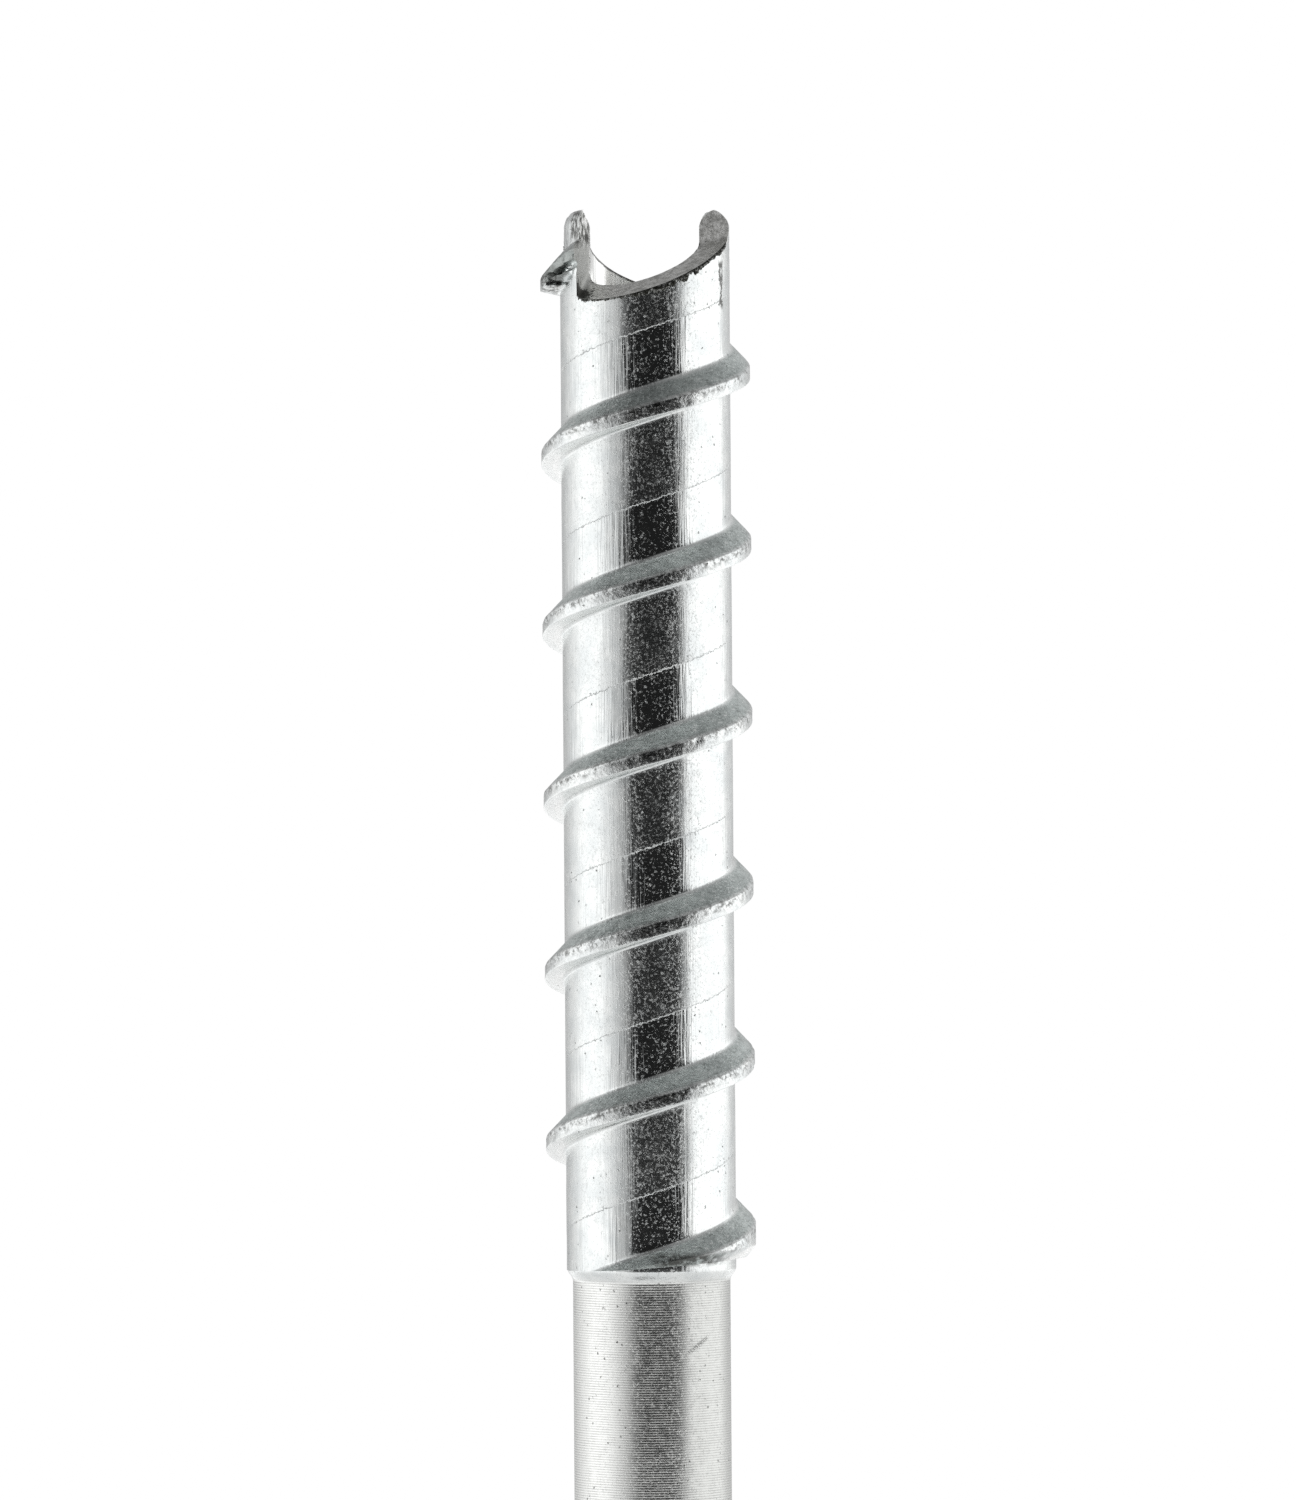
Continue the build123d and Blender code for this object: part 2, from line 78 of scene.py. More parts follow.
# --- Thread: its places round the tube are in turns, and a turn starts at +X ---------
pitch = 17.2
thread_radius = 10.5
thread_start = 49.8
thread_turns = 6.66
crest_width = 1.4
flank_height = 2.0
thread_height = crest_width + flank_height
land_height = 2.4
land_turns = 1.033
cut_height = 64.4
cut_tilt = 0.07
cut_inner_radius = 9.6
cut_slope = 1.2
tool_line = 9.06

# --- Gullets -------------------------------------------------------------------------
gullet_corner = Vector((-6.77, -4.9, 161.1))
gullet_heading = math.radians(75.4)
gullet_climb = math.tan(math.radians(25.3))
gullet_cross_rise = 0.187
gullet_round = 0.9
gullet_root_round = 0.8
gullet_width = 22.0
gullet_length = 7.45
gullet_reach = 32.0

# --- Wear: one tooth is hammered thinner, and the thread's end beside it is torn off --
worn_depth = 0.46
worn_apex = 6.75
worn_round = 1.8
torn_corner = Vector((-6.75, -4.85, 161.3))
torn_from = 6.515
torn_to = 6.585
torn_depth = 1.15
torn_back = 6.34
torn_under = 161.75

# --- Mesh fineness -------------------------------------------------------------------
columns = 216
body_step = 0.55
strip_bottom = 58.0
shank_step = 1.5
wall_steps = 20
gullet_step = 0.5
burr_stations = 260
clear_of_tube = 14.0


# === Mesh helpers ====================================================================


def new_piece(name, points, faces):
    """A mesh object from points in millimetres."""
    mesh = bpy.data.meshes.new(name)
    mesh.from_pydata([(x * MM, y * MM, z * MM) for x, y, z in points], [], faces)
    mesh.update()
    piece = bpy.data.objects.new(name, mesh)
    bpy.context.scene.collection.objects.link(piece)
    return piece


def settle(piece):
    """Replaces the piece's mesh with what its modifiers make of it."""
    graph = bpy.context.evaluated_depsgraph_get()
    mesh = bpy.data.meshes.new_from_object(piece.evaluated_get(graph))
    piece.modifiers.clear()
    piece.data = mesh


def face_outwards(piece):
    """Turns the faces of a closed mesh outwards."""
    shell = bmesh.new()
    shell.from_mesh(piece.data)
    bmesh.ops.recalc_face_normals(shell, faces=shell.faces)
    shell.to_mesh(piece.data)
    shell.free()


def carve(piece, cutters):
    """Cuts the cutters out of piece and removes them."""
    for cutter in cutters:
        face_outwards(cutter)
        cut = piece.modifiers.new("cut", "BOOLEAN")
        cut.operation = "DIFFERENCE"
        cut.solver = "MANIFOLD"
        cut.object = cutter
    settle(piece)
    for cutter in cutters:
        bpy.data.objects.remove(cutter)


def shade(piece, angle):
    """Smooth shading, with edges sharper than the angle, in degrees, kept sharp."""
    mesh = piece.data
    mesh.shade_smooth()
    mesh.set_sharp_from_angle(angle=math.radians(angle))


def ring(radius, height, limit=None):
    """One ring of points round the axis; limit is the half width between two flats across Y."""
    points = []
    for column in range(columns):
        turn = 2 * math.pi * column / columns
        reach = radius
        if limit is not None:
            reach = min(radius, limit / max(abs(math.sin(turn)), 1e-6))
        points.append((reach * math.cos(turn), reach * math.sin(turn), height))
    return points


def loft(name, rings, closed=False):
    """Skin over a list of rings with equally many points: a closed loop, or one with flat ends."""
    count = len(rings[0])
    points = [point for one in rings for point in one]
    faces = []
    for lower in range(len(rings) if closed else len(rings) - 1):
        upper = (lower + 1) % len(rings)
        for k in range(count):
            after = (k + 1) % count
            bottom = (lower * count + k, lower * count + after)
            faces.append((*bottom, upper * count + after, upper * count + k))
    if not closed:
        faces.append(tuple(reversed(range(count))))
        faces.append(tuple(range((len(rings) - 1) * count, len(rings) * count)))
    return new_piece(name, points, faces)


def smoothstep(low, high, value):
    share = min(max((value - low) / (high - low), 0.0), 1.0)
    return share * share * (3 - 2 * share)


# === Tube ============================================================================


def thread_section():
    """One pitch of the outside as (height over the square flank, radius), from the bottom up."""
    rows = [(-land_height - 0.5, body_radius), (-land_height - 0.06, body_radius)]
    rows += [(-land_height + 0.06, body_radius), (-land_height + 0.6, body_radius)]
    rows += [(-1.2, body_radius), (-0.7, body_radius)]
    # Hollow root, square flank and the crest's lower corner
    root = 0.35
    for step in range(4):
        bend = math.radians(30 * step)
        rows.append((-root + root * math.sin(bend) * 0.97, body_radius + root * (1 - math.cos(bend))))
    rows += [(0.0, body_radius + 0.9), (0.03, thread_radius - 0.55)]
    corner = 0.14
    for step in range(4):
        bend = math.radians(30 * step)
        rows.append((0.05 + corner * (1 - math.cos(bend)), thread_radius - corner * (1 - math.sin(bend))))
    # Crest, its rounded upper corner, the sloping flank and its root
    rows += [(0.45, thread_radius), (0.75, thread_radius), (1.05, thread_radius)]
    over = 0.35
    turn_end = crest_width - over * math.tan(math.radians(22.5))
    for step in range(4):
        bend = math.radians(15 * step)
        rows.append((turn_end + over * math.sin(bend), thread_radius - over * (1 - math.cos(bend))))
    for share in (0.3, 0.5, 0.7, 0.86):
        rows.append((crest_width + flank_height * share, thread_radius - flank_height * share))
    rows += [(thread_height - 0.08, body_radius + 0.12), (thread_height + 0.08, body_radius + 0.03)]
    # Plain tube up to the next turn
    last = thread_height + 0.3
    rows.append((last, body_radius))
    span = pitch - land_height - 0.5 - last
    count = round(span / body_step)
    rows += [(last + span * step / count, body_radius) for step in range(1, count)]
    return rows


def bruises(seed, count, low, high, depth, size):
    """Small dents at random places of the thread: (turns, height on the crest, depth, size)."""
    dice = random.Random(seed)
    dents = []
    for _ in range(count):
        place = (dice.uniform(low, high), dice.uniform(-0.1, crest_width + 0.2))
        dents.append((*place, dice.uniform(*depth), dice.uniform(*size)))
    return sorted(dents)


def torn_end(turns, height, section_height, radius):
    """The radius at the upper end of the thread, torn down in front and ground off from below."""
    if turns > torn_from - 0.02 and radius > body_radius:
        rag = noise.noise(Vector((section_height / 0.45, turns * 60, 3)))
        torn_metal_and_shade = smoothstep(torn_from, torn_to, turns + 0.015 * rag)
        left = thread_radius - torn_depth * torn_metal_and_shade + 0.5 * rag * smoothstep(0.0, 0.3, torn_metal_and_shade)
        radius = max(min(radius, left), body_radius)
        if section_height < crest_width:
            lost = smoothstep(0.25, 0.75, torn_metal_and_shade + 0.5 * rag - 0.25 * section_height)
            radius -= (radius - body_radius) * lost
    if turns > torn_back and section_height < crest_width + 0.4:
        rag = 0.25 * noise.noise(Vector((turns * 90, section_height, 5)))
        gone = smoothstep(torn_back, torn_back + 0.05, turns)
        gone *= smoothstep(0.35, 0.0, height - torn_under - rag)
        radius -= max(radius - body_radius, 0.0) * gone
    return radius


def outer_radius(turns, height, section_height, radius, dents):
    """The section's radius at a place, with the land, the thread's end, the dents and the wear."""
    radius = torn_end(turns, height, section_height, radius)
    in_land = smoothstep(land_turns + 0.006, land_turns - 0.006, turns)
    if -land_height <= section_height < 0.2 and in_land > 0:
        radius += (thread_radius - radius) * in_land
    fade = smoothstep(thread_turns + 0.012, thread_turns, turns)
    radius = body_radius + (radius - body_radius) * fade
    angle = 2 * math.pi * turns
    place = Vector((radius * math.cos(angle), radius * math.sin(angle), height))
    proud = (radius - body_radius) / (thread_radius - body_radius)
    radius += 0.010 * noise.noise(place / 5.0) + 0.004 * noise.noise(place / 1.6)
    if proud > 0.02:
        radius += proud * (0.035 * noise.noise(place / 0.9) + 0.03 * noise.noise(place / 2.7))
    if proud > 0.6:
        around = 2 * math.pi * thread_radius
        for dent_turns, dent_height, depth, size in dents:
            away = abs(turns - dent_turns) * around
            if away < 3 * size:
                span = (away / size) ** 2 + ((section_height - dent_height) / (0.7 * size)) ** 2
                radius -= depth * math.exp(-span)
    # The step that the tool left between two passes, broken up round the tube
    if tool_line < section_height:
        radius += 0.004 + 0.010 * smoothstep(-0.1, 0.25, noise.noise(Vector((turns * 45, 0, 17))))
    return radius


def threaded_blank():
    """The threaded tube before it is bored and cut: a helical strip closed by two flat ends."""
    section = thread_section()
    rows = len(section)
    first = math.floor((strip_bottom - thread_start - pitch) / pitch) - 1
    last = math.ceil((tube_top - thread_start) / pitch) + 2
    dents = bruises(11, 90, 0.8, thread_turns, (0.05, 0.22), (0.18, 0.5))
    points = [point for height in (tube_end, strip_bottom, tube_top) for point in ring(body_radius, height)]
    bottom, top = columns, 2 * columns
    index = {}
    for column in range(columns):
        share = column / columns
        angle = 2 * math.pi * share
        for turn in range(first, last):
            turns = turn + share
            near = [dent for dent in dents if abs(dent[0] - turns) < 0.03]
            for row, (section_height, radius) in enumerate(section):
                height = thread_start + turns * pitch + section_height
                key = (column, turn * rows + row)
                if height <= strip_bottom + 0.02:
                    index[key] = bottom + column
                elif height >= tube_top - 0.02:
                    index[key] = top + column
                else:
                    reach = outer_radius(turns, height, section_height, radius, near)
                    index[key] = len(points)
                    points.append((reach * math.cos(angle), reach * math.sin(angle), height))
    faces = []
    for column in range(columns):
        after = (column + 1) % columns
        # Past the last column the strip goes on one turn higher up
        shift = 0 if after else rows
        faces.append((column, after, bottom + after, bottom + column))
        for row in range(first * rows, last * rows - rows - 1):
            keys = ((column, row), (after, row + shift), (after, row + 1 + shift), (column, row + 1))
            corners = [index[key] for key in keys]
            face = [corner for n, corner in enumerate(corners) if corner != corners[n - 1]]
            if len(set(face)) > 2:
                faces.append(tuple(face))
    faces.append(tuple(reversed(range(columns))))
    faces.append(tuple(range(top, top + columns)))
    return new_piece("tube_body", points, faces)


def turning_cutter():
    """Everything that was turned off the blank below the thread: shoulder, shank, spigot and lip."""
    edge = thread_radius + 2
    start_cut = [
        ring(edge, cut_height + cut_slope * (edge - cut_inner_radius)),
        ring(cut_inner_radius, cut_height),
        ring(body_radius, cut_height),
    ]
    rings = [[(x, y, z + cut_tilt * x) for x, y, z in one] for one in start_cut]
    for step in range(9):
        drop = (body_radius - shank_radius) * smoothstep(0.0, 1.0, step / 8)
        rings.append(ring(body_radius - drop, shoulder_top + (shoulder_bottom - shoulder_top) * step / 8))
    count = round((shoulder_bottom - seat) / shank_step)
    for step in range(1, count + 1):
        rings.append(ring(shank_radius, shoulder_bottom + (seat - shoulder_bottom) * step / count))
    rings += [
        ring(spigot_radius, seat, spigot_half_flat),
        ring(spigot_radius, lip_top, spigot_half_flat),
        ring(lip_radius, lip_top - (lip_radius - spigot_radius)),
        ring(lip_radius, tube_end + lip_round),
        ring(lip_radius - lip_round, tube_end),
        ring(lip_radius - lip_round, tube_end - 1),
        ring(clear_of_tube, tube_end - 1),
        ring(clear_of_tube, rings[0][0][2]),
    ]
    return loft("turning", rings, closed=True)


def tip_arc():
    """Half the worn tip's pointed rounding, from the wall's side to its middle, as (offset, height)."""
    half_wall = (body_radius - bore_radius) / 2
    steps = 10
    for step in range(steps + 1):
        share = ((half_wall - tip_flat) * (1 - step / steps) + tip_flat) / half_wall
        drop = 0.55 * share**1.6 + 0.45 * (1 - math.sqrt(max(1 - share**2, 0.0)))
        yield half_wall * share, tube_top - tip_height * drop


def bore_cutter():
    """The bore, with a bevelled mouth below and the inner half of the tip's rounding above."""
    mouth = tube_end + mouth_bevel
    rings = [ring(bore_radius + mouth_bevel + 1, tube_end - 1), ring(bore_radius, mouth)]
    rings += [ring(wall_middle - offset, height) for offset, height in tip_arc()]
    rings.append(ring(wall_middle - tip_flat, tube_top + 1))
    return loft("bore", rings)


def tip_cutter():
    """What rounds the outside of the tube's open end."""
    low = tube_top - 2 * tip_height
    rings = [ring(clear_of_tube, low), ring(body_radius + 0.1, low)]
    rings += [ring(wall_middle + offset + 0.001, height) for offset, height in tip_arc()]
    rings.append(ring(wall_middle + tip_flat, tube_top + 1))
    rings.append(ring(clear_of_tube, tube_top + 1))
    return loft("tip", rings, closed=True)


def gullet_axes():
    """The gullet's own level axes: along the tooth's leading face, and away from it."""
    along = Vector((math.cos(gullet_heading), math.sin(gullet_heading), 0))
    away = Vector((math.sin(gullet_heading), -math.cos(gullet_heading), 0))
    return along, away


def in_gullet(place, turned):
    """A place seen from a gullet's corner: along and away from the leading face, over the floor."""
    along, away = gullet_axes()
    if turned:
        place = Vector((-place.x, -place.y, place.z))
    step = place - gullet_corner
    s, u = step.dot(along), step.dot(away)
    return s, u, step.z - gullet_climb * s - gullet_cross_rise * u


def gullet_floor(s, u):
    """The floor's height over the corner, with its rounded runs up the two walls."""
    height = gullet_climb * s + gullet_cross_rise * u
    if u < gullet_round:
        height += gullet_round - math.sqrt(gullet_round**2 - (gullet_round - u) ** 2)
    into = s - gullet_length + gullet_root_round
    if into > 0:
        height += gullet_root_round - math.sqrt(max(gullet_root_round**2 - into**2, 0.0))
    return height


def gullet_cutter(turned):
    """The stone that ground one gullet; its surface is finely divided where it cuts."""
    along, away = gullet_axes()
    top = tube_top - gullet_corner.z + 3
    across = [gullet_round * (1 - math.cos(math.radians(15 * step))) for step in range(6)]
    flat_steps = int((gullet_width - gullet_round) / gullet_step)
    across += [gullet_round + gullet_step * step for step in range(flat_steps)]
    root = gullet_length - gullet_root_round
    stations = [-gullet_reach] + [gullet_step * n for n in range(-28, int(root / gullet_step))]
    stations += [root + gullet_root_round * math.sin(math.radians(12 * step)) for step in range(8)]
    rings = []
    for s in stations:
        foot = gullet_floor(s, 0.0)
        section = [(0.0, top + (foot - top) * step / wall_steps) for step in range(wall_steps)]
        section += [(u, gullet_floor(s, u)) for u in across]
        section.append((gullet_width, top))
        one = []
        for u, v in section:
            point = gullet_corner + along * s + away * u + Vector((0, 0, v))
            if turned:
                point = Vector((-point.x, -point.y, point.z))
            one.append(tuple(point))
        rings.append(one)
    return loft("gullet", rings)


def worn_tooth_reach(height):
    """How far from the axis the more worn tooth reaches at a height."""
    side = body_radius - worn_depth * smoothstep(163.5, 166.0, height)
    if height < tube_top - worn_round:
        return side
    rise = (height - tube_top + worn_round) / worn_round
    return worn_apex + (side - worn_apex) * max(1 - rise**2.2, 0.0) ** 0.6


def wear_tip(tube):
    """Wear of the cutting end: one tooth hammered thinner, rough ground edges, torn corners."""
    corners = (torn_corner, Vector((-torn_corner.x, -torn_corner.y, torn_corner.z)))
    for vertex in tube.data.vertices:
        place = vertex.co / MM
        if place.z < gullet_corner.z - 4:
            continue
        radius = reach = math.hypot(place.x, place.y)
        azimuth = math.degrees(math.atan2(place.y, place.x)) % 360
        on_tooth = smoothstep(150, 166, azimuth) * smoothstep(228, 222, azimuth)
        limit = worn_tooth_reach(place.z)
        if on_tooth > 0 and limit < reach < body_radius + 0.1:
            reach += (limit - reach) * on_tooth
        chatter = 0.04 * noise.noise(place / 0.45) + 0.05 * noise.noise(place / 1.3)
        upright = Vector((place.x / 0.3, place.y / 0.3, place.z / 0.9))
        chatter += 0.10 * noise.noise(upright) * on_tooth
        chatter *= smoothstep(gullet_corner.z + 0.5, gullet_corner.z + 4, place.z)
        scale = (reach + chatter) / radius
        place.x *= scale
        place.y *= scale
        for corner in corners:
            away = (place - corner).length
            if away < 2.0:
                place.z -= math.exp(-((away / 0.6) ** 2)) * (0.35 + 0.5 * noise.noise(place / 0.35))
        vertex.co = place * MM


def is_ground(place):
    """Whether a place is on the surface that one of the two gullets left."""
    for turned in (False, True):
        s, u, over = in_gullet(place, turned)
        if s > gullet_length + 0.03 or u < -0.03:
            continue
        floor = gullet_floor(min(s, gullet_length), max(u, 0.0)) - gullet_climb * s - gullet_cross_rise * u
        if abs(over - floor) < 0.12 or abs(u) < 0.03 or abs(s - gullet_length) < 0.03:
            return True
    return False


def make_tube():
    """The whole tube: turned, bored, toothed, painted by surface and worn."""
    tube = threaded_blank()
    cutters = [turning_cutter(), tip_cutter(), bore_cutter(), gullet_cutter(False), gullet_cutter(True)]
    for material in (plated_zinc(), ground_steel(), bored_steel()):
        tube.data.materials.append(material)
    carve(tube, cutters)
    for face in tube.data.polygons:
        place = face.center / MM
        if math.hypot(place.x, place.y) < bore_radius + 0.05:
            face.material_index = 2
        elif place.z > gullet_corner.z - 1 and is_ground(place):
            face.material_index = 1
    wear_tip(tube)
    shade(tube, 32)
    return tube


def make_burr(name, turned, material):
    """The ragged lip that grinding pushed out under a gullet's outer edge."""
    dice = random.Random(name)
    rings = []
    for step in range(burr_stations + 1):
        share = step / burr_stations
        azimuth = math.radians(218 + 126 * share)
        x, y = body_radius * math.cos(azimuth), body_radius * math.sin(azimuth)
        s, u, _ = in_gullet(Vector((x, y, 0)), False)
        rim = gullet_corner.z + gullet_floor(min(s, gullet_length - 0.05), max(u, 0.01))
        swell = smoothstep(0, 0.04, share) * smoothstep(1, 0.97, share)
        grown = (0.25 + 0.75 * smoothstep(0.25, 0.5, share)) * (1 - 0.5 * smoothstep(0.62, 0.8, share))
        wide, narrow = Vector((share * 26, 0, 9)), Vector((share * 75, 0, 4))
        rag = 0.75 + 0.75 * noise.noise(wide) + 0.5 * noise.noise(narrow)
        rag = max(0.12, rag + dice.uniform(-0.16, 0.16))
        drop = 0.05 + 0.75 * grown * rag * swell
        proud = 0.02 + (0.10 + 0.12 * rag * grown) * swell
        section = [(-0.10, 0.02), (0.35 * proud, 0.01), (proud, -0.3 * drop), (0.7 * proud, -0.8 * drop)]
        section += [(0.0, -drop), (-0.10, -0.6 * drop)]
        side = -1 if turned else 1
        one = []
        for out, lift in section:
            reach = side * (body_radius + out) / body_radius
            one.append((x * reach, y * reach, rim + lift))
        rings.append(one)
    burr = loft(name, rings)
    face_outwards(burr)
    burr.data.materials.append(material)
    shade(burr, 50)
    return burr


# === Materials =======================================================================


class Nodes:
    """Short calls for the nodes of one node tree."""

    def __init__(self, tree):
        self.tree = tree

    def feed(self, socket, value):
        """Links a node's output to the socket, or sets the socket's own value."""
        if isinstance(value, bpy.types.NodeSocket):
            self.tree.links.new(value, socket)
        else:
            socket.default_value = value

    def node(self, kind, *values, operation=None):
        """A new node with its first inputs fed."""
        node = self.tree.nodes.new("ShaderNode" + kind)
        if operation is not None:
            node.operation = operation
        for socket, value in zip(node.inputs, values):
            self.feed(socket, value)
        return node

    def math(self, operation, *values):
        return self.node("Math", *values, operation=operation).outputs[0]

    def plus(self, first, second):
        return self.math("ADD", first, second)

    def minus(self, first, second):
        return self.math("SUBTRACT", first, second)

    def times(self, first, *others):
        for other in others:
            first = self.math("MULTIPLY", first, other)
        return first

    def most(self, first, second):
        return self.math("MAXIMUM", first, second)

    def gap(self, first, second):
        """How far two numbers are apart."""
        return self.math("ABSOLUTE", self.minus(first, second))

    def clamp(self, value, high=1.0):
        """The value, kept between 0 and high."""
        return self.math("MINIMUM", self.most(value, 0.0), high)

    def length(self, x, y):
        return self.math("SQRT", self.plus(self.times(x, x), self.times(y, y)))

    def mix(self, share, first, second):
        """A blend of two colours or two numbers."""
        node = self.tree.nodes.new("ShaderNodeMix")
        colours = any(
            isinstance(one, tuple) or (isinstance(one, bpy.types.NodeSocket) and one.type == "RGBA")
            for one in (first, second)
        )
        node.data_type = "RGBA" if colours else "FLOAT"
        places = (0, 6, 7) if colours else (0, 2, 3)
        for place, value in zip(places, (share, first, second)):
            self.feed(node.inputs[place], value)
        return node.outputs[2 if colours else 0]


class Paint(Nodes):
    """A new material: one Principled shader, and the patterns that feed it, in millimetres."""

    def __init__(self, name, **fixed):
        self.material = bpy.data.materials.new(name)
        self.material.use_nodes = True
        super().__init__(self.material.node_tree)
        self.shader = self.tree.nodes["Principled BSDF"]
        for socket, value in fixed.items():
            self.shader.inputs[socket.replace("_", " ")].default_value = value
        scale = self.node("VectorMath", self.node("TexCoord").outputs["Object"], operation="SCALE")
        scale.inputs["Scale"].default_value = 1 / MM
        self.place = scale.outputs[0]

    def stretch(self, factors, shift=None):
        """The place in millimetres, times the factors, with a shift along Z."""
        place = self.node("VectorMath", self.place, factors, operation="MULTIPLY").outputs[0]
        if shift is None:
            return place
        joined = self.node("CombineXYZ", 0.0, 0.0, shift).outputs[0]
        return self.node("VectorMath", place, joined, operation="ADD").outputs[0]

    def noise(self, size, detail=2.0, rough=0.5, place=None):
        """Noise of about the given size, in millimetres, from 0 to 1."""
        node = self.tree.nodes.new("ShaderNodeTexNoise")
        self.feed(node.inputs["Vector"], place or self.place)
        node.inputs["Scale"].default_value = 1 / size
        node.inputs["Detail"].default_value = detail
        node.inputs["Roughness"].default_value = rough
        return node.outputs["Fac"]

    def cells(self, size):
        """Distance to the nearest of many scattered points, in sizes."""
        node = self.tree.nodes.new("ShaderNodeTexVoronoi")
        self.feed(node.inputs["Vector"], self.place)
        node.inputs["Scale"].default_value = 1 / size
        return node.outputs["Distance"]

    def fit(self, value, low, high, to_low=0.0, to_high=1.0):
        """The value's way from low to high, as a way from to_low to to_high."""
        return self.node("MapRange", value, low, high, to_low, to_high).outputs[0]

    def rag(self, pattern, depth):
        """A pattern as a number from -depth to depth, to make a border ragged."""
        return self.fit(pattern, 0.3, 0.7, -depth, depth)

    def bump(self, height, depth, under=None):
        """The normal over a relief that is depth millimetres high."""
        node = self.tree.nodes.new("ShaderNodeBump")
        node.inputs["Distance"].default_value = depth * MM
        self.feed(node.inputs["Height"], height)
        if under is not None:
            self.tree.links.new(under, node.inputs["Normal"])
        return node.outputs[0]

    def axes(self):
        """X, Y and Z in millimetres."""
        return self.node("SeparateXYZ", self.place).outputs

    def finish(self, colour=None, roughness=None, normal=None):
        for socket, value in (("Base Color", colour), ("Roughness", roughness), ("Normal", normal)):
            if value is not None:
                self.feed(self.shader.inputs[socket], value)
        return self.material


# Places of single marks, in millimetres
start_dirt_x = 3.6
start_dirt_z = cut_height + 0.75
crack_between = (7.25, 7.95)
crack_low, crack_high = 159.8, 164.9
graze_slope = 0.75
graze_height = 55.4
graze_x = 4.2
mark_spacing = 0.25
worn_face = (-5.4, -5.7)

dirt_black = (0.07, 0.07, 0.065, 1)


def thread_fields(paint, x, y, z):
    """The number of the turn below a place, and the height over that turn's square flank."""
    turn = paint.math("DIVIDE", paint.math("ARCTAN2", x, paint.times(y, -1.0)), 2 * math.pi)
    lift = paint.times(paint.minus(turn, 0.25), pitch)
    height = paint.minus(paint.minus(z, thread_start), lift)
    section = paint.math("FLOORED_MODULO", height, pitch)
    band = paint.math("FLOOR", paint.math("DIVIDE", height, pitch))
    return band, section


def tube_marks(paint, x, y, z, fine):
    """Single marks of the plated tube: dirt at the thread's start, a crack, and a graze on the shank."""
    start_dirt = paint.times(
        paint.fit(paint.gap(z, start_dirt_z), 0.85, 0.35),
        paint.fit(y, -2.0, -5.0),
        paint.fit(paint.gap(x, start_dirt_x), 4.4, 2.4),
        paint.fit(paint.noise(0.9, 4.0, 0.7), 0.34, 0.52),
    )
    wander = paint.fit(paint.noise(1.1, 4.0, 0.75), 0.25, 0.75, *crack_between)
    crack = paint.times(
        paint.fit(paint.gap(x, wander), 0.17, 0.06),
        paint.fit(z, crack_low, crack_low + 0.5),
        paint.fit(z, crack_high, crack_high - 0.5),
        paint.fit(y, 0.0, -1.0),
    )
    graze = paint.minus(z, paint.times(paint.minus(x, 3.0), graze_slope))
    graze = paint.plus(graze, paint.rag(fine, 0.12))
    graze = paint.times(
        paint.fit(paint.gap(graze, graze_height), 0.30, 0.08),
        paint.fit(paint.gap(x, graze_x), 1.5, 0.9),
        paint.fit(fine, 0.48, 0.58),
        paint.fit(y, 0.0, -2.0),
    )
    return start_dirt, crack, graze


def worn_and_shaded_side(paint, x, y, z, section, proud, coarse, colour):
    """The colour with the marks beside the worn tooth: a grey film, chipped zinc, and torn metal that also
    paints the shade under the torn flap.
    """
    front = paint.fit(y, 1.0, -0.5)
    beside = paint.times(paint.fit(x, -6.2, -6.5), front)
    film = paint.times(beside, proud, paint.fit(z, 162.4, 163.4))
    colour = paint.mix(paint.times(film, 0.65), colour, (0.27, 0.28, 0.27, 1))
    root_gap = paint.gap(section, thread_height + 0.1)
    root_line = paint.times(beside, paint.fit(z, 164.6, 165.0), paint.fit(root_gap, 0.35, 0.15))
    edge = paint.plus(x, paint.rag(coarse, 0.25))
    chipped = paint.times(beside, paint.fit(edge, -7.40, -7.20), paint.fit(z, 166.6, 167.4))
    chips = paint.noise(0.26, 3.0, 0.7, paint.stretch((1.0, 0.35, 0.3)))
    dark_chip = paint.times(chipped, paint.fit(chips, 0.47, 0.52))
    colour = paint.mix(paint.times(chipped, 0.5), colour, (0.55, 0.56, 0.54, 1))
    colour = paint.mix(paint.times(paint.most(dark_chip, root_line), 0.85), colour, dirt_black)
    # Near black on the torn thread end: torn metal, and painted shade on the torn flap's underside
    torn_metal_and_shade = paint.times(
        paint.fit(x, -6.4, -7.0),
        paint.fit(z, 160.4, 161.4),
        paint.fit(z, 164.6, 163.2),
        paint.fit(paint.noise(0.5, 4.0, 0.7), 0.36, 0.58),
        proud,
        front,
    )
    return paint.mix(paint.times(torn_metal_and_shade, 0.9), colour, (0.06, 0.06, 0.055, 1))


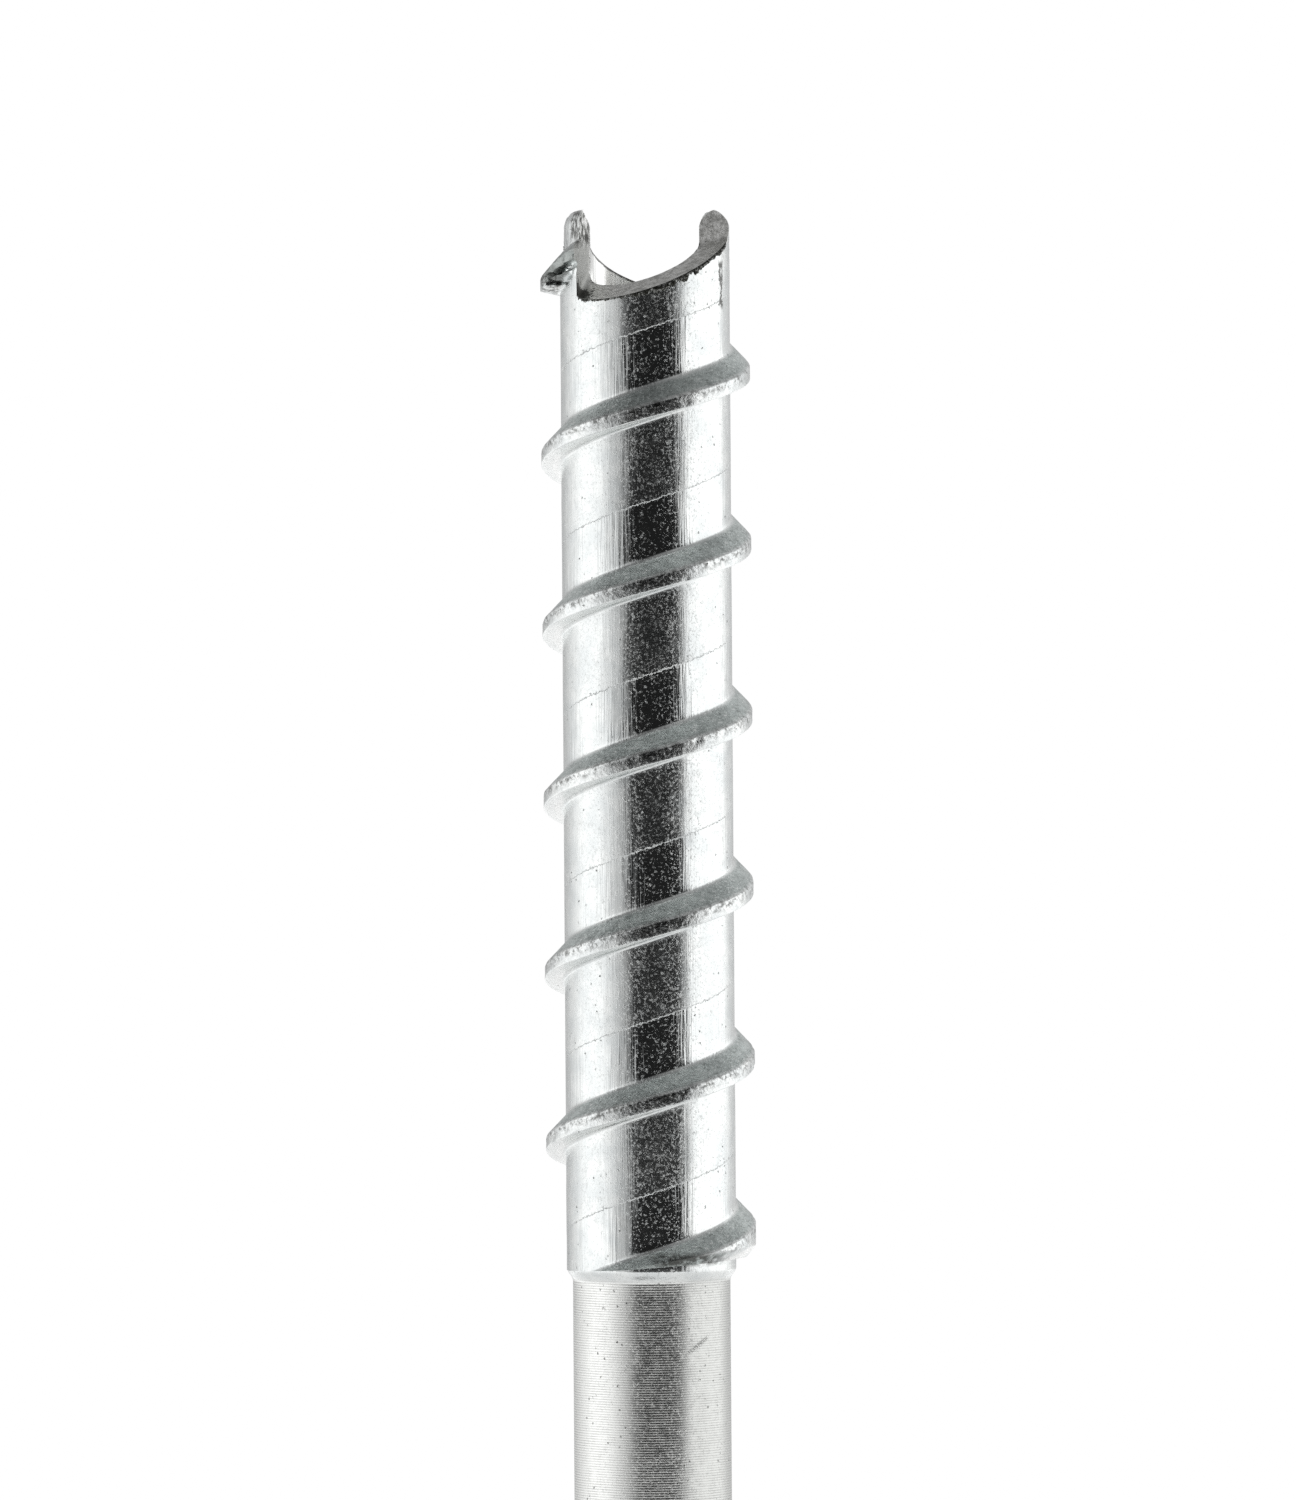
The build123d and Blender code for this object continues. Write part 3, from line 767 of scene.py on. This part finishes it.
def plated_zinc():
    """Bright zinc on the threaded tube: streaked between the turns, rough crests, turned shank."""
    paint = Paint("plated_zinc", Metallic=1.0)
    x, y, z = paint.axes()
    reach = paint.length(x, y)
    band, section = thread_fields(paint, x, y, z)
    # Above the tool's line, on the shank, on the thread, on its crest and on plain tube
    border = paint.plus(section, paint.rag(paint.noise(0.35, 3.0, 0.7), 0.16))
    upper = paint.fit(border, tool_line - 0.06, tool_line + 0.06)
    shank = paint.fit(z, shoulder_bottom + 0.5, shoulder_bottom)
    proud = paint.fit(reach, body_radius + 0.1, body_radius + 0.4)
    crest = paint.fit(reach, thread_radius - 0.35, thread_radius - 0.12)
    body = paint.minus(1.0, paint.most(shank, proud))
    # Long draw marks, different above and below the tool's line, fading in and out round the tube
    jump = paint.plus(paint.times(band, 7.3), paint.times(upper, 31.0))
    streaks = paint.noise(0.27, 2.0, 0.6, paint.stretch((1.0, 1.0, 0.04), jump))
    patches = paint.noise(2.2, 2.0, 0.5, paint.stretch((1.0, 1.0, 0.25), jump))
    patches = paint.fit(patches, 0.38, 0.6, 0.25, 1.0)
    streak_share = paint.times(body, patches, paint.mix(upper, 1.0, 0.45))
    # Spots of coarse zinc, sparse below the line and dense above it, and the film between them
    fine = paint.noise(0.13, 3.0, 0.7)
    coarse = paint.noise(0.26, 4.0, 0.7)
    cloud = paint.noise(2.6, 3.0, 0.6)
    film = paint.noise(1.1, 4.0, 0.65)
    spots = paint.fit(coarse, paint.mix(upper, 0.575, 0.54), 0.74)
    haze = paint.fit(fine, 0.5, 0.72)
    # Pits in groups, more of them on the +X side of the shank
    pits = paint.fit(paint.plus(paint.cells(0.9), paint.rag(fine, 0.13)), 0.11, 0.03)
    bare = paint.minus(0.48, paint.times(shank, paint.fit(x, -2.0, 4.0, 0.0, 0.12)))
    pits = paint.times(pits, paint.fit(paint.noise(3.0, 2.0), bare, paint.plus(bare, 0.1)))
    # Dirt on the crest's two rims, and the single marks
    rim_dirt = paint.times(
        paint.fit(paint.noise(0.6, 5.0, 0.75), 0.46, 0.60),
        paint.fit(paint.gap(section, 1.15), 0.85, 0.1),
        proud,
    )
    start_dirt, crack, graze = tube_marks(paint, x, y, z, fine)
    # Turning marks of the shank
    ring_mark = paint.math("SINE", paint.times(z, 2 * math.pi / mark_spacing))
    ring_share = paint.times(shank, paint.fit(film, 0.3, 0.6, 0.35, 1.0))
    # Relief, from the widest to the finest
    normal = paint.bump(paint.times(streaks, streak_share), 0.05)
    normal = paint.bump(paint.times(ring_mark, ring_share), 0.005, normal)
    normal = paint.bump(paint.times(paint.noise(0.3, 3.0, 0.65), proud), 0.045, normal)
    normal = paint.bump(paint.plus(spots, paint.times(fine, 0.5)), 0.012, normal)
    normal = paint.bump(paint.minus(1.0, paint.most(pits, graze)), 0.05, normal)
    # Zinc, white under the thread, with coarse spots and worn blotches
    smoke = paint.fit(paint.plus(cloud, paint.times(fine, 0.3)), 0.5, 0.78)
    colour = paint.mix(smoke, (0.76, 0.79, 0.79, 1), (0.89, 0.91, 0.90, 1))
    under = paint.most(paint.fit(section, 0.12, -0.05), paint.fit(section, pitch - 1, pitch - 0.9))
    colour = paint.mix(paint.times(proud, under), colour, (0.98, 0.99, 0.98, 1))
    colour = paint.mix(paint.times(spots, 0.3), colour, (0.62, 0.63, 0.61, 1))
    worn = paint.fit(paint.noise(0.7, 5.0, 0.75, paint.stretch((1.0, 1.0, 0.7))), 0.52, 0.68)
    colour = paint.mix(paint.times(worn, 0.45), colour, (0.60, 0.62, 0.61, 1))
    # Shank, stained on its +X side
    colour = paint.mix(shank, colour, paint.mix(film, (0.84, 0.85, 0.83, 1), (0.95, 0.96, 0.94, 1)))
    stain = paint.times(shank, paint.fit(paint.plus(x, film), 2.6, 5.2))
    colour = paint.mix(paint.times(stain, 0.55), colour, (0.50, 0.51, 0.49, 1))
    # Film on the sloping flank, with light and dark scrapes
    flank = paint.times(proud, paint.minus(1.0, crest))
    flank = paint.times(flank, paint.fit(section, 0.5, 0.8), paint.fit(section, 4.2, 3.9))
    flank_cloud = paint.fit(paint.times(paint.plus(film, coarse), 0.5), 0.40, 0.60)
    flank_film = paint.mix(flank_cloud, (0.36, 0.405, 0.395, 1), (0.68, 0.745, 0.73, 1))
    scrape = paint.noise(0.28, 3.0, 0.65, paint.stretch((0.45, 0.45, 1.4)))
    light_scrape = paint.times(paint.fit(scrape, 0.60, 0.66), 0.8)
    dark_scrape = paint.times(paint.fit(scrape, 0.40, 0.35), 0.8)
    flank_film = paint.mix(light_scrape, flank_film, (0.95, 0.97, 0.96, 1))
    flank_film = paint.mix(dark_scrape, flank_film, (0.16, 0.18, 0.17, 1))
    colour = paint.mix(paint.times(flank, 0.85), colour, flank_film)
    # Dirt, the wear and painted shade beside the tooth, and the dark grooves between the turning marks
    dirt = paint.most(paint.times(pits, 0.85), paint.times(rim_dirt, 0.8))
    dirt = paint.most(dirt, paint.times(paint.most(start_dirt, crack), 0.9))
    dirt = paint.most(dirt, paint.times(graze, 0.25))
    colour = paint.mix(dirt, colour, dirt_black)
    colour = worn_and_shaded_side(paint, x, y, z, section, proud, coarse, colour)
    groove = paint.times(paint.fit(ring_mark, -0.9, 0.1, 0.58, 0.0), ring_share)
    colour = paint.mix(groove, colour, (0.30, 0.30, 0.29, 1))
    # Roughness
    rough = paint.mix(upper, 0.11, 0.17)
    rough = paint.plus(rough, paint.times(spots, paint.mix(upper, 0.26, 0.16)))
    rough = paint.plus(rough, paint.times(haze, paint.mix(upper, 0.08, 0.14)))
    rough = paint.plus(rough, paint.times(paint.fit(film, 0.5, 0.7), paint.mix(upper, 0.03, 0.10)))
    rough = paint.mix(proud, rough, paint.fit(fine, 0.3, 0.7, 0.20, 0.36))
    rough = paint.mix(crest, rough, paint.fit(coarse, 0.4, 0.7, 0.14, 0.40))
    rough = paint.mix(shank, rough, paint.fit(film, 0.3, 0.7, 0.22, 0.32))
    return paint.finish(colour, rough, normal)


def painted_corner_shade(paint, reach):
    """Where the gullets' inner corners get painted shade: 1 at the corners, 0 further away than the reach
    in millimetres.
    """
    gaps = []
    for side in (1, -1):
        corner = (side * torn_corner.x, side * torn_corner.y, torn_corner.z)
        gaps.append(paint.node("VectorMath", paint.place, corner, operation="DISTANCE").outputs["Value"])
    nearest = paint.math("MINIMUM", *gaps)
    ragged = paint.plus(nearest, paint.rag(paint.noise(0.6, 3.0, 0.7), 0.9))
    return paint.fit(ragged, reach, 0.75 * reach)


def ground_steel():
    """Bare steel as the grinding stone left it, with painted shade in the corners, and chattered on the
    worn tooth.
    """
    paint = Paint("ground_steel", Metallic=1.0)
    x, _, z = paint.axes()
    marks = paint.noise(0.10, 3.0, 0.6, paint.stretch((0.3, 0.3, 1.0)))
    mottle = paint.noise(0.8, 4.0, 0.65)
    grain = paint.noise(0.35, 3.0, 0.7)
    clouds = paint.plus(paint.times(mottle, 0.6), paint.times(grain, 0.4))
    colour = paint.mix(paint.fit(clouds, 0.42, 0.57), (0.56, 0.56, 0.54, 1), (1.0, 1.0, 0.98, 1))
    face = paint.fit(x, *worn_face)
    colour = paint.mix(paint.times(face, 0.85), colour, (0.46, 0.47, 0.45, 1))
    pits = paint.times(paint.fit(paint.cells(0.7), 0.16, 0.08), paint.fit(mottle, 0.45, 0.55))
    colour = paint.mix(paint.times(pits, 0.75), colour, (0.12, 0.12, 0.11, 1))
    # Upright chatter near the top of the worn tooth
    on_tooth = paint.times(face, paint.fit(z, 166.0, 167.2))
    chatter = paint.noise(0.30, 3.0, 0.7, paint.stretch((1.0, 0.2, 0.25)))
    dark = paint.times(on_tooth, paint.fit(chatter, 0.49, 0.54))
    bright = paint.times(on_tooth, paint.fit(chatter, 0.45, 0.40))
    colour = paint.mix(paint.times(dark, 0.95), colour, (0.04, 0.04, 0.035, 1))
    colour = paint.mix(bright, colour, (0.98, 0.98, 0.97, 1))
    # Painted shade: near black in the gullets' inner corners, where the notch is deep
    colour = paint.mix(paint.times(painted_corner_shade(paint, 1.8), 0.95), colour, (0.025, 0.025, 0.02, 1))
    normal = paint.bump(marks, 0.02)
    normal = paint.bump(mottle, 0.04, normal)
    normal = paint.bump(paint.times(chatter, on_tooth), 0.6, normal)
    return paint.finish(colour, paint.fit(marks, 0.3, 0.7, 0.36, 0.5), normal)


def burr_steel_painted_shade():
    """Burrs: smeared metal with a few bright points, painted near black for the shadow the folded lip
    catches.
    """
    paint = Paint("burr_steel_painted_shade", Metallic=1.0)
    grain = paint.noise(0.25, 3.0, 0.7)
    # Mostly near black: painted shade of the shadow under the folded burr, with lighter smeared metal
    colour = paint.mix(paint.fit(grain, 0.50, 0.70), (0.035, 0.035, 0.03, 1), (0.62, 0.63, 0.61, 1))
    normal = paint.bump(paint.noise(0.16, 3.0, 0.7), 0.06)
    return paint.finish(colour, paint.fit(grain, 0.3, 0.7, 0.5, 0.25), normal)


def bored_steel():
    """The pale drawn wall of the bore, with a dark line where grinding turned its edge over."""
    paint = Paint("bored_steel", Metallic=1.0)
    x, y, z = paint.axes()
    lines = paint.noise(0.3, 3.0, 0.6, paint.stretch((1.0, 1.0, 0.05)))
    mottle = paint.noise(0.8, 3.0, 0.6)
    colour = paint.mix(mottle, (0.93, 0.94, 0.93, 1), (0.98, 0.98, 0.97, 1))
    # The gullet floor's height over the place, from the gullet on the place's own side of Y
    along, away = gullet_axes()
    rise = along * gullet_climb + away * gullet_cross_rise
    side = paint.math("SIGN", y)
    level = paint.plus(paint.times(x, rise.x), paint.times(y, rise.y))
    run = paint.plus(paint.times(x, along.x), paint.times(y, along.y))
    root = -gullet_corner.dot(along) - gullet_length + gullet_root_round
    into = paint.clamp(paint.minus(root, paint.times(side, run)), gullet_root_round)
    square = paint.minus(gullet_root_round**2, paint.times(into, into))
    curl = paint.minus(gullet_root_round, paint.math("SQRT", square))
    middle = gullet_corner.z - rise.dot(gullet_corner)
    rim = paint.plus(paint.minus(middle, paint.times(side, level)), curl)
    under = paint.math("ABSOLUTE", paint.plus(paint.minus(rim, z), paint.rag(mottle, 0.08)))
    lip = paint.times(paint.fit(under, 0.30, 0.16), paint.fit(z, 159.5, 160.0))
    colour = paint.mix(paint.times(lip, 0.85), colour, (0.05, 0.05, 0.045, 1))
    normal = paint.bump(lines, 0.02)
    return paint.finish(colour, paint.fit(mottle, 0.3, 0.7, 0.12, 0.24), normal)


def plate_steel():
    """Tumbled stainless plate: a soft sheen, fine dents and crossing scratches."""
    paint = Paint("tumbled_plate", Metallic=1.0)
    cloud = paint.noise(6.0, 3.0, 0.6)
    dents = paint.cells(1.3)
    first = paint.noise(0.35, 2.0, 0.6, paint.stretch((0.06, 1.0, 1.0)))
    second = paint.noise(0.3, 2.0, 0.6, paint.stretch((1.0, 0.08, 0.5)))
    scratches = paint.most(paint.fit(first, 0.66, 0.72), paint.fit(second, 0.66, 0.72))
    colour = paint.mix(cloud, (0.56, 0.56, 0.55, 1), (0.70, 0.70, 0.69, 1))
    colour = paint.mix(paint.times(scratches, 0.35), colour, (0.85, 0.85, 0.84, 1))
    rough = paint.fit(paint.noise(0.8, 4.0, 0.65), 0.3, 0.7, 0.26, 0.40)
    rough = paint.minus(rough, paint.times(scratches, 0.08))
    normal = paint.bump(paint.fit(dents, 0.1, 0.6), 0.012)
    normal = paint.bump(paint.minus(1.0, scratches), 0.012, normal)
    return paint.finish(colour, rough, normal)


def turned_steel(name, centre, colours, spacing=0.22):
    """Turned metal: fine rings round an upright axis at centre, burnished on the high spots."""
    paint = Paint(name, Metallic=1.0)
    x, y, z = paint.axes()
    reach = paint.length(paint.minus(x, centre[0]), paint.minus(y, centre[1]))
    rings = paint.math("SINE", paint.times(paint.plus(reach, z), 2 * math.pi / spacing))
    film = paint.noise(1.4, 4.0, 0.65)
    specks = paint.fit(paint.cells(0.6), 0.16, 0.08)
    colour = paint.mix(paint.fit(film, 0.35, 0.65), colours[0], colours[1])
    dirt = tuple(0.25 * channel for channel in colours[0][:3]) + (1,)
    colour = paint.mix(paint.times(specks, paint.fit(film, 0.5, 0.7)), colour, dirt)
    normal = paint.bump(rings, 0.004)
    normal = paint.bump(film, 0.02, normal)
    return paint.finish(colour, paint.fit(film, 0.3, 0.7, 0.24, 0.40), normal)


def moulded_nylon(name, low, high, scuffed):
    """Moulded nylon with a fine spark-eroded grain, cloudy gloss and a few pale scuffs."""
    paint = Paint(name, Metallic=0.0)
    grain = paint.noise(0.22, 3.0, 0.6)
    cloud = paint.noise(5.0, 3.0, 0.55)
    first = paint.noise(0.30, 2.0, 0.6, paint.stretch((0.10, 1.0, 1.0)))
    second = paint.noise(0.34, 2.0, 0.6, paint.stretch((1.0, 0.14, 1.0)))
    scuffs = paint.most(paint.fit(first, 0.68, 0.76), paint.fit(second, 0.68, 0.76))
    colour = paint.mix(cloud, low, high)
    colour = paint.mix(paint.times(scuffs, 0.5), colour, scuffed)
    rough = paint.fit(cloud, 0.3, 0.7, 0.42, 0.58)
    rough = paint.plus(rough, paint.times(scuffs, 0.15))
    normal = paint.bump(grain, 0.02)
    normal = paint.bump(paint.minus(1.0, scuffs), 0.02, normal)
    return paint.finish(colour, rough, normal)


def paint_head():
    """Materials of the nodes at the screw's head, which keep their own shapes."""
    tube_axis = (0.0, 0.0)
    rivet_axis = (-20.0, 0.0)
    knob_axis = (8.452, 18.126)
    plate = plate_steel()
    grey, pale_grey = (0.52, 0.54, 0.54, 1), (0.68, 0.70, 0.70, 1)
    pale, paler = (0.60, 0.60, 0.59, 1), (0.76, 0.76, 0.75, 1)
    brown, gold = (0.50, 0.33, 0.16, 1), (0.66, 0.47, 0.26, 1)
    charcoal = ((0.035, 0.035, 0.04, 1), (0.06, 0.06, 0.065, 1), (0.22, 0.22, 0.23, 1))
    blue = ((0.02, 0.15, 0.42, 1), (0.04, 0.21, 0.52, 1), (0.25, 0.42, 0.70, 1))
    head = {
        "hanger": plate,
        "crank_arm": plate,
        "hex_collar": turned_steel("machined_collar", tube_axis, (grey, pale_grey)),
        "knob": moulded_nylon("knob_nylon", *charcoal),
        "knob_cap": moulded_nylon("cap_nylon", *blue),
    }
    for node in ("pivot_rivet", "spring_washer", "stop_pin"):
        head[node] = turned_steel("turned_" + node, rivet_axis, (pale, paler))
    for node in ("knob_stud", "clip_washer", "knob_clip"):
        head[node] = turned_steel("turned_" + node, knob_axis, (pale, paler))
    head["pivot_washer"] = turned_steel("bronze_pivot", rivet_axis, (brown, gold), 0.3)
    for node in ("knob_washer", "knob_sleeve"):
        head[node] = turned_steel("bronze_" + node, knob_axis, (brown, gold), 0.3)
    for node, material in head.items():
        for material_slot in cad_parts[node].material_slots:
            material_slot.material = material


# === Studio ==========================================================================

# Light round the horizon, as (degrees from the camera's side towards +X, brightness)
panels = [
    (-180, 0.52), (-150, 0.54), (-118, 0.92), (-100, 1.25), (-70, 1.2), (-52, 0.72), (-33, 0.4),
    (-26, 0.012), (44, 0.012), (58, 1.2), (118, 1.35), (136, 0.75), (180, 0.52),
]
brightest = 1.5


def white_studio():
    """White surroundings: bright panels left and right, a dark front and a dim ceiling."""
    world = bpy.data.worlds.new("studio")
    bpy.context.scene.world = world
    world.use_nodes = True
    nodes = Nodes(world.node_tree)
    x, y, z = nodes.node("SeparateXYZ", nodes.node("TexCoord").outputs["Generated"]).outputs
    azimuth = nodes.math("DEGREES", nodes.math("ARCTAN2", x, nodes.times(y, -1.0)))
    elevation = nodes.math("DEGREES", nodes.math("ARCSINE", z))
    ramp = nodes.node("ValToRGB", nodes.plus(nodes.math("DIVIDE", azimuth, 360.0), 0.5))
    elements = ramp.color_ramp.elements
    while len(elements) < len(panels):
        elements.new(0.5)
    for element, (degrees, _) in zip(elements, panels):
        element.position = degrees / 360 + 0.5
    for element, (_, light) in zip(elements, panels):
        element.color = (light / brightest, light / brightest, light / brightest, 1)
    horizon = nodes.times(ramp.outputs[0], brightest)
    # The ceiling, dimmest a little to the left
    up = nodes.clamp(nodes.math("DIVIDE", nodes.minus(elevation, 28.0), 22.0))
    ceiling = nodes.plus(nodes.times(nodes.gap(x, -0.27), 0.38), 0.115)
    light = nodes.mix(up, horizon, ceiling)
    # The lower half, dark in front and bright all round
    facing = nodes.clamp(nodes.math("DIVIDE", nodes.minus(62.0, nodes.gap(azimuth, 9.0)), 30.0))
    down = nodes.clamp(nodes.math("DIVIDE", nodes.minus(-5.0, elevation), 9.0))
    light = nodes.mix(down, light, nodes.mix(facing, 1.15, 0.10))
    # The picture's own background is plain white
    seen = nodes.node("LightPath").outputs["Is Camera Ray"]
    nodes.feed(nodes.tree.nodes["Background"].inputs["Color"], nodes.mix(seen, light, 1.0))


def pale_floor():
    """A round pale floor under the object, which melts into the white surroundings at its edge."""
    height = cad_box[0][2] / MM - 0.5
    edge = 300.0
    sides = 96
    points = []
    for n in range(sides):
        angle = 2 * math.pi * n / sides
        points.append((edge * math.cos(angle), edge * math.sin(angle), height))
    floor = new_piece("floor", points, [tuple(range(sides))])
    paint = Paint("pale_floor", Roughness=0.9, Specular_IOR_Level=0.0, Emission_Color=(1, 1, 1, 1))
    x, y, _ = paint.axes()
    outwards = paint.fit(paint.length(x, y), 120.0, 0.97 * edge)
    grain = paint.mix(paint.noise(40.0, 3.0), (0.84, 0.84, 0.84, 1), (0.88, 0.88, 0.88, 1))
    colour = paint.mix(outwards, grain, (0, 0, 0, 1))
    paint.feed(paint.shader.inputs["Emission Strength"], paint.fit(outwards, 0.0, 1.0, 0.42, 1.0))
    floor.data.materials.append(paint.finish(colour))


def place_camera():
    """Level, from the front, close enough for the upper 13 cm of the screw to fill the picture."""
    data = bpy.data.cameras.new("camera")
    data.lens = 220
    data.sensor_width = 36
    camera = bpy.data.objects.new("camera", data)
    camera.location = (0, -0.92, 0.1159)
    camera.rotation_euler = (math.radians(90), math.radians(0.4), 0)
    bpy.context.scene.collection.objects.link(camera)
    bpy.context.scene.camera = camera


# === Scene ===========================================================================

tube_body = make_tube()
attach(tube_body, "screw")
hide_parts("tube")

paint_head()

# The burrs' material paints the shade they catch as near black
burr_metal_painted_shade = burr_steel_painted_shade()
for burr in (make_burr("burr_near", False, burr_metal_painted_shade), make_burr("burr_far", True, burr_metal_painted_shade)):
    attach(burr, "screw")

bpy.context.scene.view_settings.view_transform = "Standard"
bpy.context.scene.cycles.use_denoising = False
white_studio()
pale_floor()
place_camera()
